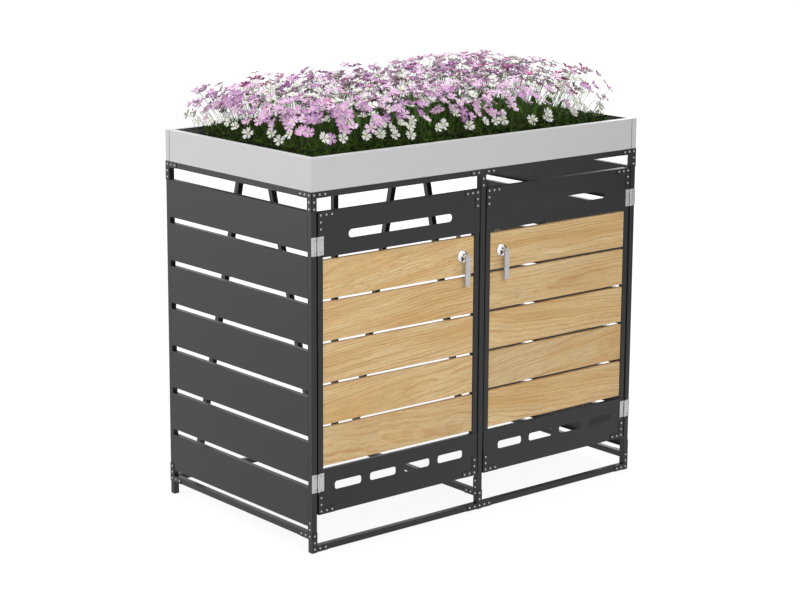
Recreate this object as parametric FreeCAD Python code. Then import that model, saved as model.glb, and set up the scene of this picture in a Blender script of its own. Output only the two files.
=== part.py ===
# Twin wheelie bin store: a screwed steel frame with slatted sides, two doors with oak boards
# and a planted trough on top. All sizes are millimetres.
#
# While it is built, x runs from the left face of the frame to the right, y from the front face
# to the rear, and z up from the floor. Each part is moved to the store's own origin when it is
# saved: the centre of its footprint, on the floor, with -Y at the doors.

import FreeCAD
import Part
import math
import os

# Overall sizes
overallWidth = 1400.0
overallDepth = 780.0
frameHeight = 1141.0
planterHeight = 103.0

# Square tube of the frame
tubeSize = 20.0
tubeWall = 1.5
tubeEdgeRadius = 1.5
footDrop = 3.0
footChamfer = 2.0
footPlugLength = 15.0
footPlugClearance = 0.2
sideRailUnderside = 45.0

# Corner plates and their screws
plateThickness = 1.5
plateArm = 63.0
screwPitch = 21.5
screwShankRadius = 2.0
screwHeadRadius = 3.6
screwHeadTopRadius = 2.4
screwHeadHeight = 1.6
screwSocketAcross = 2.2
screwSocketDepth = 0.9
screwLength = 5.0
screwHoleClearance = 0.1
screwReachMargin = 0.5

# Folded side slats
slatCount = 7
slatGap = 20.0
slatTopGap = 41.0
slatSheet = 1.2
slatFold = 18.0
slatBendRadius = 1.5

# Leaning tubes at the back of each bay, as distances from the bay's outer post
braceFoot = 79.0
braceHead = 287.0

# Doors
hingeGap = 6.0
lockGap = 5.0
doorUnderside = 122.0
doorTopGap = 44.0
doorStopGap = 0.3
panelSheet = 1.2
panelFold = 12.0
topPanelHeight = 141.0
bottomPanelHeight = 143.0
boardCount = 5
boardGap = 10.0
boardThickness = 14.0
boardEndGap = 1.0
boardEdgeRadius = 1.0

# Slots in the door panels
handSlotLength = 422.0
handSlotHeight = 26.0
handSlotBelowTop = 79.0
ventCount = 4
ventPitch = 141.5
ventLength = 106.0
ventHeight = 26.0
ventAboveBottom = 84.0
ventCornerRadius = 9.0

# Lugs that hold the boards
lugWidth = 30.0
lugHeight = 60.0
lugThickness = 1.5
lugInset = 0.2
lugScrewInset = 18.0
lugScrewSpacing = 40.0

# Butt hinges
hingeLeafWidth = 23.0
hingeHeight = 58.0
hingeLeafThickness = 2.0
hingeEndDistance = 104.0
knuckleRadius = 3.5
pinRadius = 1.6
pinClearance = 0.05
knuckleEndGap = 0.3
middleKnuckleShare = 0.5
leafSideGap = 1.8
hingeScrewSpacing = 40.0

# Quarter-turn locks
lockFromDoorEdge = 70.0
rosetteRadius = 22.0
rosetteRise = 10.0
rosetteFaceRadius = 9.5
rosetteShoulderRadius = 17.6
rosetteShoulderRise = 7.2
spindleHubRadius = 7.0
spindleRadius = 5.0
spindleRunningClearance = 0.08
hubEndGap = 0.3
boardHoleClearance = 0.5
barStandoff = 20.5
barThickness = 4.0
barWidth = 20.0
barDrop = 93.0
spindleNoseRadius = 4.0
spindleSocketRadius = 2.5
spindleSocketDepth = 5.0
backNutRadius = 13.0
backNutThickness = 3.0
camClearance = 1.0
camPostGap = 2.0
camThickness = 3.0
camWidth = 18.0
camReach = 82.0
camSquare = 7.0
camSquareClearance = 0.1
camRivetRadius = 6.0
camRivetThickness = 2.0

# Door stops on the middle post
stopWidth = 50.0
stopHeight = 40.0
stopThickness = 2.0
stopInset = 60.0

# Planter trough
planterSheet = 1.5
planterRim = 22.0
planterLedge = 10.0
planterBendRadius = 1.5
planterSeamGap = 0.8
strapWidth = 40.0
strapEndGap = 4.0
drainRadius = 5.0
drainColumns = 4
drainRows = 3
soilBelowRim = 16.0
soilSideGap = 4.0
foliageSideGap = 28.0
foliageHeight = 60.0
flowerColumns = 8
flowerRows = 4
flowerClumpGap = 10.0
flowerFootRadius = 22.0
flowerShoulderShare = 0.75
flowerCrownShare = 0.55
flowerFrontHeight = 70.0
flowerRearHeight = 128.0
flowerHeightVariation = 14.0
flowerColumnPhase = 2.1
flowerRowPhase = 1.3

# Small working values
cutMargin = 1.0
touchTolerance = 0.001
slotEndFlat = 0.02

# Values that follow from the sizes above
middleX = overallWidth / 2
middlePostLeft = middleX - tubeSize / 2
topRailUnderside = frameHeight - tubeSize
rearTubeFront = overallDepth - tubeSize
firstSlatUnderside = sideRailUnderside + tubeSize + slatGap
slatZone = topRailUnderside - slatTopGap - firstSlatUnderside
slatHeight = (slatZone - (slatCount - 1) * slatGap) / slatCount
doorLeft = tubeSize + hingeGap
doorRight = middlePostLeft - lockGap
doorMiddle = (doorLeft + doorRight) / 2
doorTop = topRailUnderside - doorTopGap
doorTubeFront = panelSheet
doorTubeRear = tubeSize - doorStopGap
topPanelUnderside = doorTop - topPanelHeight
bottomPanelTop = doorUnderside + bottomPanelHeight
boardZone = topPanelUnderside - bottomPanelTop
boardHeight = (boardZone - (boardCount + 1) * boardGap) / boardCount
boardRear = doorTubeRear - lugInset - lugThickness
boardFront = boardRear - boardThickness
hingeX = tubeSize + hingeGap / 2
hingeY = -knuckleRadius
hingeHeights = [doorUnderside + hingeEndDistance, doorTop - hingeEndDistance]
lockX = doorRight - lockFromDoorEdge
lockZ = topPanelUnderside - boardGap - boardHeight / 2
camFront = max(boardRear + backNutThickness + camClearance, tubeSize + camPostGap)
planterTop = frameHeight + planterHeight
frontExtent = barStandoff + barThickness
rearExtent = overallDepth + plateThickness + screwHeadHeight
originY = (rearExtent - frontExtent) / 2

leftward = FreeCAD.Vector(-1, 0, 0)
rightward = FreeCAD.Vector(1, 0, 0)
forward = FreeCAD.Vector(0, -1, 0)
rearward = FreeCAD.Vector(0, 1, 0)
upward = FreeCAD.Vector(0, 0, 1)
downward = FreeCAD.Vector(0, 0, -1)


def point(x, y, z):
    return FreeCAD.Vector(x, y, z)


def boxBetween(first, second):
    low = point(min(first.x, second.x), min(first.y, second.y), min(first.z, second.z))
    high = point(max(first.x, second.x), max(first.y, second.y), max(first.z, second.z))
    return Part.makeBox(high.x - low.x, high.y - low.y, high.z - low.z, low)


def block(x0, x1, y0, y1, z0, z1):
    return boxBetween(point(x0, y0, z0), point(x1, y1, z1))


def roundedBlock(x0, x1, y0, y1, z0, z1, along, radius):
    # The four edges along the named axis are rounded.
    axis = {"x": rightward, "y": rearward, "z": upward}[along]
    shape = block(x0, x1, y0, y1, z0, z1)
    return shape.makeFillet(radius, [edge for edge in shape.Edges if isAlong(edge, axis)])


def isAlong(edge, axis):
    return abs(abs(edge.tangentAt(edge.FirstParameter).dot(axis)) - 1) < touchTolerance


def hollowTube(x0, x1, y0, y1, z0, z1, along):
    # The tube is open at both ends, along the named axis.
    gaps = {"x": tubeWall, "y": tubeWall, "z": tubeWall}
    gaps[along] = 0.0
    outside = roundedBlock(x0, x1, y0, y1, z0, z1, along, tubeEdgeRadius)
    inside = block(x0 + gaps["x"], x1 - gaps["x"], y0 + gaps["y"], y1 - gaps["y"],
                   z0 + gaps["z"], z1 - gaps["z"])
    return outside.cut(inside)


def prism(corners, travel):
    face = Part.Face(Part.makePolygon(corners + [corners[0]]))
    return face.extrude(travel)


def mirrored(shape):
    return shape.mirror(point(middleX, 0, 0), rightward)


def mirroredPoint(place):
    return point(overallWidth - place.x, place.y, place.z)


def group(shapes):
    solids = []
    for shape in shapes:
        solids.extend(shape.Solids)
    return Part.makeCompound(solids)


def roundedSlot(centreX, centreZ, length, height, radius, front, rear):
    return roundedBlock(centreX - length / 2, centreX + length / 2, front, rear, centreZ - height / 2,
                        centreZ + height / 2, "y", min(radius, (height - slotEndFlat) / 2))


# Screws and the holes they need

def makeScrew():
    # The head stands on the plane z = 0 and the shank goes down from it.
    head = Part.makeCone(screwHeadRadius, screwHeadTopRadius, screwHeadHeight)
    shank = Part.makeCylinder(screwShankRadius, screwLength, point(0, 0, -screwLength))
    socketRadius = screwSocketAcross / math.sqrt(3)
    corners = []
    for turn in range(6):
        angle = math.radians(60 * turn)
        corners.append(point(socketRadius * math.cos(angle), socketRadius * math.sin(angle),
                             screwHeadHeight - screwSocketDepth))
    socket = prism(corners, point(0, 0, screwSocketDepth))
    return head.fuse(shank).cut(socket)


screwShape = makeScrew()


def placeScrew(place, outward):
    placed = screwShape.copy()
    placed.Placement = FreeCAD.Placement(place, FreeCAD.Rotation(upward, outward))
    return placed


def screwHole(place, outward):
    radius = screwShankRadius + screwHoleClearance
    reach = screwLength + screwReachMargin
    return Part.makeCylinder(radius, 2 * reach, place - outward * reach, outward)


def drill(shape, screws):
    # Only the screws that reach the shape cut it.
    limits = shape.BoundBox
    limits.enlarge(screwLength - screwReachMargin)
    tools = [screwHole(place, outward) for place, outward in screws if limits.isInside(place)]
    return shape.cut(tools) if tools else shape


# Plates that join the tubes

framePlates = []
frameScrews = []


def makeCornerPlate(corner, across, rise, outward):
    # Gives the L plate and the seats of its five screws.
    thickness = outward * plateThickness
    alongArm = boxBetween(corner, corner + across * plateArm + rise * tubeSize + thickness)
    risingArm = boxBetween(corner, corner + rise * plateArm + across * tubeSize + thickness)
    middle = corner + (across + rise) * (tubeSize / 2) + thickness
    screws = [(middle, outward)]
    for step in (1, 2):
        screws.append((middle + across * (step * screwPitch), outward))
        screws.append((middle + rise * (step * screwPitch), outward))
    return drill(alongArm.fuse(risingArm).removeSplitter(), screws), screws


def addCornerPlate(corner, across, rise, outward):
    plate, screws = makeCornerPlate(corner, across, rise, outward)
    framePlates.append(plate)
    frameScrews.extend(screws)


def addTeePlate(edgeMiddle, rise, outward, hasMiddleScrew):
    thickness = outward * plateThickness
    halfBar = rightward * (2 * screwPitch + tubeSize / 2)
    halfStem = rightward * (tubeSize / 2)
    bar = boxBetween(edgeMiddle - halfBar, edgeMiddle + halfBar + rise * tubeSize + thickness)
    stem = boxBetween(edgeMiddle - halfStem, edgeMiddle + halfStem + rise * plateArm + thickness)
    middle = edgeMiddle + rise * (tubeSize / 2) + thickness
    screws = [(middle, outward)] if hasMiddleScrew else []
    for step in (1, 2):
        for direction in (rightward, leftward, rise):
            screws.append((middle + direction * (step * screwPitch), outward))
    frameScrews.extend(screws)
    framePlates.append(drill(bar.fuse(stem).removeSplitter(), screws))


def addFramePlates():
    for sideX, outward, inward in ((0.0, leftward, rightward), (overallWidth, rightward, leftward)):
        for faceY, facing, lowZ in ((0.0, forward, footDrop), (overallDepth, rearward, sideRailUnderside)):
            addCornerPlate(point(sideX, faceY, frameHeight), inward, downward, facing)
            addCornerPlate(point(sideX, faceY, lowZ), inward, upward, facing)
        for faceY, across in ((0.0, rearward), (overallDepth, forward)):
            addCornerPlate(point(sideX, faceY, frameHeight), across, downward, outward)
            addCornerPlate(point(sideX, faceY, sideRailUnderside), across, upward, outward)
    addCornerPlate(point(middlePostLeft, 0.0, sideRailUnderside), rearward, upward, leftward)
    addTeePlate(point(middleX, 0.0, frameHeight), downward, forward, False)
    addTeePlate(point(middleX, 0.0, footDrop), upward, forward, True)
    addTeePlate(point(middleX, overallDepth, frameHeight), downward, rearward, False)
    addTeePlate(point(middleX, overallDepth, sideRailUnderside), upward, rearward, True)


def hingeScrewSeats(leafMiddleX):
    seats = []
    for height in hingeHeights:
        for offset in (-hingeScrewSpacing / 2, hingeScrewSpacing / 2):
            seats.append((point(leafMiddleX, -hingeLeafThickness, height + offset), forward))
    return seats


postLeafMiddle = (hingeX - hingeLeafWidth + hingeX - knuckleRadius) / 2
doorLeafMiddle = 2 * hingeX - postLeafMiddle
stopHeights = [doorUnderside + stopInset, doorTop - stopInset]


def stopScrewSeats():
    return [(point(middleX, tubeSize + stopThickness, height), rearward) for height in stopHeights]


# Frame tubes

def makePosts():
    places = {
        "post_front_left": (0.0, 0.0),
        "post_front_middle": (middlePostLeft, 0.0),
        "post_front_right": (overallWidth - tubeSize, 0.0),
        "post_rear_left": (0.0, rearTubeFront),
        "post_rear_middle": (middlePostLeft, rearTubeFront),
        "post_rear_right": (overallWidth - tubeSize, rearTubeFront),
    }
    posts = {}
    for name, (x, y) in places.items():
        post = hollowTube(x, x + tubeSize, y, y + tubeSize, footDrop, frameHeight, "z")
        posts[name] = drill(post, frameScrews)
    return posts


def makeFootCaps():
    caps = []
    inside = tubeSize - 2 * tubeWall - 2 * footPlugClearance
    for x in (0.0, middlePostLeft, overallWidth - tubeSize):
        for y in (0.0, rearTubeFront):
            pad = block(x, x + tubeSize, y, y + tubeSize, 0.0, footDrop)
            underEdges = [edge for edge in pad.Edges if edge.BoundBox.ZMax < touchTolerance]
            pad = pad.makeChamfer(footChamfer, underEdges)
            low = (tubeSize - inside) / 2
            plug = block(x + low, x + low + inside, y + low, y + low + inside,
                         footDrop, footDrop + footPlugLength)
            caps.append(drill(pad.fuse(plug), frameScrews))
    return group(caps)


def makeRails():
    bays = ((tubeSize, middlePostLeft), (middlePostLeft + tubeSize, overallWidth - tubeSize))
    sides = {
        "left": (0.0, tubeSize),
        "middle": (middlePostLeft, middlePostLeft + tubeSize),
        "right": (overallWidth - tubeSize, overallWidth),
    }
    rows = {
        "rail_top_front": (0.0, topRailUnderside),
        "rail_top_rear": (rearTubeFront, topRailUnderside),
        "rail_bottom_front": (0.0, footDrop),
        "rail_bottom_rear": (rearTubeFront, sideRailUnderside),
    }
    rails = {}
    for name, (y, z) in rows.items():
        pieces = [hollowTube(x0, x1, y, y + tubeSize, z, z + tubeSize, "x") for x0, x1 in bays]
        rails[name] = group([drill(piece, frameScrews) for piece in pieces])
    for name, (x0, x1) in sides.items():
        for level, z in (("top", topRailUnderside), ("bottom", sideRailUnderside)):
            rail = hollowTube(x0, x1, tubeSize, rearTubeFront, z, z + tubeSize, "y")
            rails["rail_" + level + "_" + name] = drill(rail, frameScrews)
    return rails


def makeBearers():
    bayMiddle = (tubeSize + middlePostLeft) / 2
    bearer = hollowTube(bayMiddle - tubeSize / 2, bayMiddle + tubeSize / 2, tubeSize, rearTubeFront,
                        topRailUnderside, frameHeight, "y")
    return group([bearer, mirrored(bearer)])


def makeBrace(footX, headX):
    low = sideRailUnderside + tubeSize
    high = topRailUnderside
    lean = math.atan2(abs(headX - footX), high - low)
    shapes = []
    for width, front, rear in ((tubeSize, rearTubeFront, overallDepth),
                               (tubeSize - 2 * tubeWall, rearTubeFront + tubeWall, overallDepth - tubeWall)):
        half = width / 2 / math.cos(lean)
        corners = [point(footX - half, front, low), point(footX + half, front, low),
                   point(headX + half, front, high), point(headX - half, front, high)]
        shapes.append(prism(corners, point(0, rear - front, 0)))
    return shapes[0].cut(shapes[1])


def makeRearBraces():
    leftBay = [makeBrace(tubeSize + braceFoot, tubeSize + braceHead),
               makeBrace(middlePostLeft - braceFoot, middlePostLeft - braceHead)]
    return group(leftBay)


def makeSideSlats():
    slats = []
    for index in range(slatCount):
        low = firstSlatUnderside + index * (slatHeight + slatGap)
        high = low + slatHeight
        corners = [point(0, tubeSize, low), point(slatFold, tubeSize, low),
                   point(slatFold, tubeSize, low + slatSheet), point(slatSheet, tubeSize, low + slatSheet),
                   point(slatSheet, tubeSize, high - slatSheet), point(slatFold, tubeSize, high - slatSheet),
                   point(slatFold, tubeSize, high), point(0, tubeSize, high)]
        slat = prism(corners, point(0, rearTubeFront - tubeSize, 0))
        outerEdges = [edge for edge in slat.Edges if edge.BoundBox.XMax < touchTolerance]
        bends = [edge for edge in outerEdges if isAlong(edge, rearward)]
        slats.append(slat.makeFillet(slatBendRadius, bends))
    return group(slats)


def makeDoorStops():
    stops = []
    for height in stopHeights:
        plate = block(middleX - stopWidth / 2, middleX + stopWidth / 2, tubeSize, tubeSize + stopThickness,
                      height - stopHeight / 2, height + stopHeight / 2)
        stops.append(drill(plate, stopScrewSeats()))
    return group(stops)


# Hinges

def makeLeaf(height, toPost):
    # Three knuckles share the height: the outer two are the door's, the middle one the post's.
    low = height - hingeHeight / 2
    high = height + hingeHeight / 2
    halfMiddle = hingeHeight * middleKnuckleShare / 2
    halfGap = knuckleEndGap / 2
    if toPost:
        direction = -1
        spans = [(height - halfMiddle + halfGap, height + halfMiddle - halfGap)]
        boreRadius = pinRadius
        seats = hingeScrewSeats(postLeafMiddle)
    else:
        direction = 1
        spans = [(low, height - halfMiddle - halfGap), (height + halfMiddle + halfGap, high)]
        boreRadius = pinRadius + pinClearance
        seats = hingeScrewSeats(doorLeafMiddle)
    nearX = hingeX + direction * (knuckleRadius + leafSideGap)
    leaf = block(nearX, hingeX + direction * hingeLeafWidth, -hingeLeafThickness, 0.0, low, high)
    for start, end in spans:
        knuckle = Part.makeCylinder(knuckleRadius, end - start, point(hingeX, hingeY, start))
        web = block(hingeX, nearX, -hingeLeafThickness, 0.0, start, end)
        leaf = leaf.fuse([knuckle, web])
    bore = Part.makeCylinder(boreRadius, hingeHeight, point(hingeX, hingeY, low))
    return drill(leaf.cut(bore).removeSplitter(), seats)


def makePin(height):
    return Part.makeCylinder(pinRadius, hingeHeight, point(hingeX, hingeY, height - hingeHeight / 2))


# One door, built as the left one

def makeDoorPlates():
    corners = [
        (point(doorLeft, 0.0, doorTop), rightward, downward),
        (point(doorRight, 0.0, doorTop), leftward, downward),
        (point(doorLeft, 0.0, doorUnderside), rightward, upward),
        (point(doorRight, 0.0, doorUnderside), leftward, upward),
    ]
    plates = []
    screws = []
    for corner, across, rise in corners:
        plate, seats = makeCornerPlate(corner, across, rise, forward)
        plates.append(plate)
        screws.extend(seats)
    return plates, screws


def boardUndersides():
    return [bottomPanelTop + boardGap + index * (boardHeight + boardGap) for index in range(boardCount)]


def lugPlaces():
    # The stile's inner edge, the way inwards and the board's middle height, for each lug.
    places = []
    for low in boardUndersides():
        for edge, inward in ((doorLeft + tubeSize, 1), (doorRight - tubeSize, -1)):
            places.append((edge, inward, low + boardHeight / 2))
    return places


def lugScrewSeats():
    seats = []
    rear = boardRear + lugThickness
    for edge, inward, middle in lugPlaces():
        x = edge + inward * lugScrewInset
        for z in (middle - lugScrewSpacing / 2, middle + lugScrewSpacing / 2):
            seats.append((point(x, rear, z), rearward))
    return seats


def makeDoorFrame(screws):
    front = doorTubeFront
    rear = doorTubeRear
    pieces = []
    for x in (doorLeft, doorRight - tubeSize):
        pieces.append(hollowTube(x, x + tubeSize, front, rear, doorUnderside, doorTop, "z"))
    for z in (doorUnderside, doorTop - tubeSize):
        rail = hollowTube(doorLeft + tubeSize, doorRight - tubeSize, front, rear, z, z + tubeSize, "x")
        pieces.append(rail)
    return group([drill(piece, screws) for piece in pieces])


def makeTopPanel(screws):
    sheet = block(doorLeft, doorRight, 0.0, panelSheet, topPanelUnderside, doorTop)
    fold = block(doorLeft + tubeSize, doorRight - tubeSize, 0.0, panelFold,
                 topPanelUnderside, topPanelUnderside + panelSheet)
    slot = roundedSlot(doorMiddle, doorTop - handSlotBelowTop, handSlotLength, handSlotHeight,
                       handSlotHeight / 2, -cutMargin, panelSheet + cutMargin)
    return drill(sheet.fuse(fold).cut(slot), screws)


def makeBottomPanel(screws):
    sheet = block(doorLeft, doorRight, 0.0, panelSheet, doorUnderside, bottomPanelTop)
    fold = block(doorLeft + tubeSize, doorRight - tubeSize, 0.0, panelFold,
                 bottomPanelTop - panelSheet, bottomPanelTop)
    panel = sheet.fuse(fold)
    for index in range(ventCount):
        centre = doorMiddle + (index - (ventCount - 1) / 2) * ventPitch
        panel = panel.cut(roundedSlot(centre, doorUnderside + ventAboveBottom, ventLength, ventHeight,
                                      ventCornerRadius, -cutMargin, panelSheet + cutMargin))
    return drill(panel, screws)


def makeBoards():
    boards = []
    for low in boardUndersides():
        board = roundedBlock(doorLeft + tubeSize + boardEndGap, doorRight - tubeSize - boardEndGap,
                             boardFront, boardRear, low, low + boardHeight, "x", boardEdgeRadius)
        if low < lockZ < low + boardHeight:
            board = board.cut(Part.makeCylinder(spindleRadius + boardHoleClearance, boardThickness,
                                                point(lockX, boardFront, lockZ), rearward))
        boards.append(drill(board, lugScrewSeats()))
    return group(boards)


def makeLugs():
    lugs = []
    for edge, inward, middle in lugPlaces():
        lug = block(edge, edge + inward * lugWidth, boardRear, boardRear + lugThickness,
                    middle - lugHeight / 2, middle + lugHeight / 2)
        lugs.append(drill(lug, lugScrewSeats()))
    return group(lugs)


# The lock of the left door

def turned(profile):
    # The profile's points are radius and y, and it is turned about the lock's axis.
    face = Part.Face(Part.Wire(profile))
    return face.revolve(point(lockX, 0, lockZ), rearward, 360)


def profilePoint(radius, y):
    return point(lockX + radius, y, lockZ)


def makeRosette():
    bore = spindleHubRadius + spindleRunningClearance
    rear = boardFront
    front = rear - rosetteRise
    shoulder = profilePoint(rosetteShoulderRadius, rear - rosetteShoulderRise)
    dome = Part.Arc(profilePoint(rosetteRadius, rear), shoulder, profilePoint(rosetteFaceRadius, front))
    return turned([
        Part.LineSegment(profilePoint(bore, rear), profilePoint(rosetteRadius, rear)).toShape(),
        dome.toShape(),
        Part.LineSegment(profilePoint(rosetteFaceRadius, front), profilePoint(bore, front)).toShape(),
        Part.LineSegment(profilePoint(bore, front), profilePoint(bore, rear)).toShape(),
    ])


def alongLock(radius, front, rear):
    return Part.makeCylinder(radius, rear - front, point(lockX, front, lockZ), rearward)


def aroundLock(halfWidth, front, rear):
    return block(lockX - halfWidth, lockX + halfWidth, front, rear, lockZ - halfWidth, lockZ + halfWidth)


def makeBackNut():
    rear = boardRear + backNutThickness
    ring = alongLock(backNutRadius, boardRear, rear)
    return ring.cut(alongLock(spindleRadius + spindleRunningClearance, boardRear, rear))


def makeSpindle():
    nose = alongLock(spindleNoseRadius, -frontExtent, -barStandoff)
    hub = alongLock(spindleHubRadius, -barStandoff, boardFront - hubEndGap)
    shaft = alongLock(spindleRadius, boardFront - hubEndGap, camFront)
    tail = aroundLock(camSquare / 2, camFront, camFront + camThickness)
    rivet = alongLock(camRivetRadius, camFront + camThickness, camFront + camThickness + camRivetThickness)
    socket = alongLock(spindleSocketRadius, -frontExtent, -frontExtent + spindleSocketDepth)
    return nose.fuse([hub, shaft, tail, rivet]).cut(socket)


def makeBar():
    rounding = alongLock(barWidth / 2, -frontExtent, -barStandoff)
    half = barWidth / 2
    strip = block(lockX - half, lockX + half, -frontExtent, -barStandoff, lockZ - barDrop, lockZ)
    hole = alongLock(spindleNoseRadius, -frontExtent, -barStandoff)
    return rounding.fuse(strip).removeSplitter().cut(hole)


def makeCam():
    rear = camFront + camThickness
    rounding = alongLock(camWidth / 2, camFront, rear)
    strip = block(lockX - camWidth / 2, lockX + camWidth / 2, camFront, rear, lockZ, lockZ + camReach)
    hole = aroundLock(camSquare / 2 + camSquareClearance / 2, camFront, rear)
    return rounding.fuse(strip).removeSplitter().cut(hole)


# Planter trough

def makeRim(x0, x1, y0, y1):
    return block(x0, x1, y0, y1, planterTop - planterSheet, planterTop)


def makeLedge(x0, x1, y0, y1):
    return block(x0, x1, y0, y1, frameHeight, frameHeight + planterSheet)


def roundOutside(shell, cornerX, cornerY):
    # Rounds the bends on the outside of a half: the upright corner and the two edges of the rim.
    bends = []
    for edge in shell.Edges:
        box = edge.BoundBox
        onX = abs(box.XMin - cornerX) < touchTolerance and abs(box.XMax - cornerX) < touchTolerance
        onY = abs(box.YMin - cornerY) < touchTolerance and abs(box.YMax - cornerY) < touchTolerance
        onTop = box.ZMin > planterTop - touchTolerance
        if (onX and onY) or (onTop and (onX or onY)):
            bends.append(edge)
    return shell.makeFillet(planterBendRadius, bends)


def makePlanterFrontLeft():
    seamX = overallWidth - planterRim - planterSeamGap
    seamY = overallDepth - planterRim - planterSeamGap
    front = block(0, seamX, 0, planterSheet, frameHeight, planterTop)
    left = block(0, planterSheet, 0, seamY, frameHeight, planterTop)
    folds = [makeRim(0, seamX, 0, planterRim), makeRim(0, planterRim, 0, seamY),
             makeLedge(0, seamX, 0, planterLedge), makeLedge(0, planterLedge, 0, seamY)]
    return roundOutside(front.fuse([left] + folds).removeSplitter(), 0.0, 0.0)


def makePlanterRearRight():
    width = overallWidth
    depth = overallDepth
    rear = block(0, width, depth - planterSheet, depth, frameHeight, planterTop)
    right = block(width - planterSheet, width, 0, depth, frameHeight, planterTop)
    rearTab = block(0, planterSheet, depth - planterRim, depth, frameHeight, planterTop)
    frontTab = block(width - planterRim, width, 0, planterSheet, frameHeight, planterTop)
    folds = [makeRim(0, width, depth - planterRim, depth), makeRim(width - planterRim, width, 0, depth),
             makeLedge(0, width, depth - planterLedge, depth),
             makeLedge(width - planterLedge, width, 0, depth)]
    return roundOutside(rear.fuse([right, rearTab, frontTab] + folds).removeSplitter(), width, depth)


def makePlanterStraps():
    low = frameHeight + planterSheet + strapEndGap
    high = planterTop - planterSheet - strapEndGap
    half = strapWidth / 2
    seamX = overallWidth - planterRim
    seamY = overallDepth - planterRim
    inside = planterSheet
    frontStrap = block(seamX - half, seamX + half, inside, inside + planterSheet, low, high)
    leftStrap = block(inside, inside + planterSheet, seamY - half, seamY + half, low, high)
    return group([frontStrap, leftStrap])


def makePlanterFloor():
    low = frameHeight
    x0 = planterLedge + planterSeamGap
    y0 = planterLedge + planterSeamGap
    x1 = middleX - planterSeamGap
    y1 = overallDepth - planterLedge - planterSeamGap
    sheet = block(x0, x1, y0, y1, low, low + planterSheet)
    for column in range(drainColumns):
        for row in range(drainRows):
            x = x0 + (x1 - x0) * (column + 0.5) / drainColumns
            y = y0 + (y1 - y0) * (row + 0.5) / drainRows
            sheet = sheet.cut(Part.makeCylinder(drainRadius, planterSheet, point(x, y, low)))
    return group([sheet, mirrored(sheet)])


soilTop = planterTop - soilBelowRim


def makeSoil():
    return block(soilSideGap, overallWidth - soilSideGap, soilSideGap, overallDepth - soilSideGap,
                 frameHeight + planterSheet, soilTop)


def makeFoliage():
    side = foliageSideGap
    return block(side, overallWidth - side, side, overallDepth - side, soilTop, soilTop + foliageHeight)


def makeFlowers():
    # Each clump is a blunt cone that opens upwards and ends in a low dome.
    low = soilTop + foliageHeight
    pitchX = (overallWidth - 2 * foliageSideGap) / flowerColumns
    pitchY = (overallDepth - 2 * foliageSideGap) / flowerRows
    headRadius = (min(pitchX, pitchY) - flowerClumpGap) / 2
    clumps = []
    for column in range(flowerColumns):
        for row in range(flowerRows):
            x = foliageSideGap + (column + 0.5) * pitchX
            y = foliageSideGap + (row + 0.5) * pitchY
            share = math.sqrt(row / (flowerRows - 1))
            rise = flowerFrontHeight + (flowerRearHeight - flowerFrontHeight) * share
            rise += flowerHeightVariation * math.sin(flowerColumnPhase * column + flowerRowPhase * row)
            shoulder = rise * flowerShoulderShare
            cone = Part.makeCone(flowerFootRadius, headRadius, shoulder, point(x, y, low))
            crown = Part.makeCone(headRadius, headRadius * flowerCrownShare, rise - shoulder,
                                  point(x, y, low + shoulder))
            clumps.append(cone.fuse(crown))
    return group(clumps)


# Everything is built, moved to the origin and saved

def buildAll():
    addFramePlates()
    leafScrews = hingeScrewSeats(postLeafMiddle)
    frameScrews.extend(leafScrews)
    frameScrews.extend([(mirroredPoint(place), outward) for place, outward in leafScrews])
    frameScrews.extend(stopScrewSeats())

    parts = {}
    parts.update(makePosts())
    parts["foot_caps"] = makeFootCaps()
    parts.update(makeRails())
    parts["planter_bearers"] = makeBearers()
    braces = makeRearBraces()
    parts["rear_braces_left"] = braces
    parts["rear_braces_right"] = mirrored(braces)
    slats = makeSideSlats()
    parts["side_slats_left"] = slats
    parts["side_slats_right"] = mirrored(slats)
    parts["frame_plates"] = group(framePlates)
    parts["frame_screws"] = group([placeScrew(place, outward) for place, outward in frameScrews])
    parts["door_stops"] = makeDoorStops()

    parts["planter_front_left"] = makePlanterFrontLeft()
    parts["planter_rear_right"] = makePlanterRearRight()
    parts["planter_straps"] = makePlanterStraps()
    parts["planter_floor"] = makePlanterFloor()
    parts["soil"] = makeSoil()
    parts["foliage"] = makeFoliage()
    parts["flowers"] = makeFlowers()

    postLeaves = [makeLeaf(height, True) for height in hingeHeights]
    pins = [makePin(height) for height in hingeHeights]
    parts["hinge_post_leaves"] = group(postLeaves + [mirrored(leaf) for leaf in postLeaves])
    parts["hinge_pins"] = group(pins + [mirrored(pin) for pin in pins])

    cornerPlates, cornerScrews = makeDoorPlates()
    hingeScrews = hingeScrewSeats(doorLeafMiddle)
    frontScrews = cornerScrews + hingeScrews
    allScrews = frontScrews + lugScrewSeats()
    door = {
        "door_frame": makeDoorFrame(frontScrews),
        "door_top_panel": makeTopPanel(frontScrews),
        "door_bottom_panel": makeBottomPanel(frontScrews),
        "door_boards": makeBoards(),
        "door_board_lugs": makeLugs(),
        "door_corner_plates": group(cornerPlates),
        "door_screws": group([placeScrew(place, outward) for place, outward in allScrews]),
        "hinge_leaves": group([makeLeaf(height, False) for height in hingeHeights]),
        "lock_rosette": makeRosette(),
        "lock_back_nut": makeBackNut(),
        "lock_spindle": makeSpindle(),
        "lock_bar": makeBar(),
        "lock_cam": makeCam(),
    }
    for name, shape in door.items():
        parts["left_" + name] = shape
        parts["right_" + name] = mirrored(shape)
    return parts


def saveAll(parts):
    os.makedirs("parts", exist_ok=True)
    for name, shape in sorted(parts.items()):
        moved = shape.copy()
        moved.translate(point(-middleX, -originY, 0))
        moved.exportStep("parts/" + name + ".step")
        print(name, len(moved.Solids), round(moved.Volume / 1000, 1))


saveAll(buildAll())
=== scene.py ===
import math
import random

import bpy
from mathutils import Euler, Matrix, Vector, noise


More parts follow.
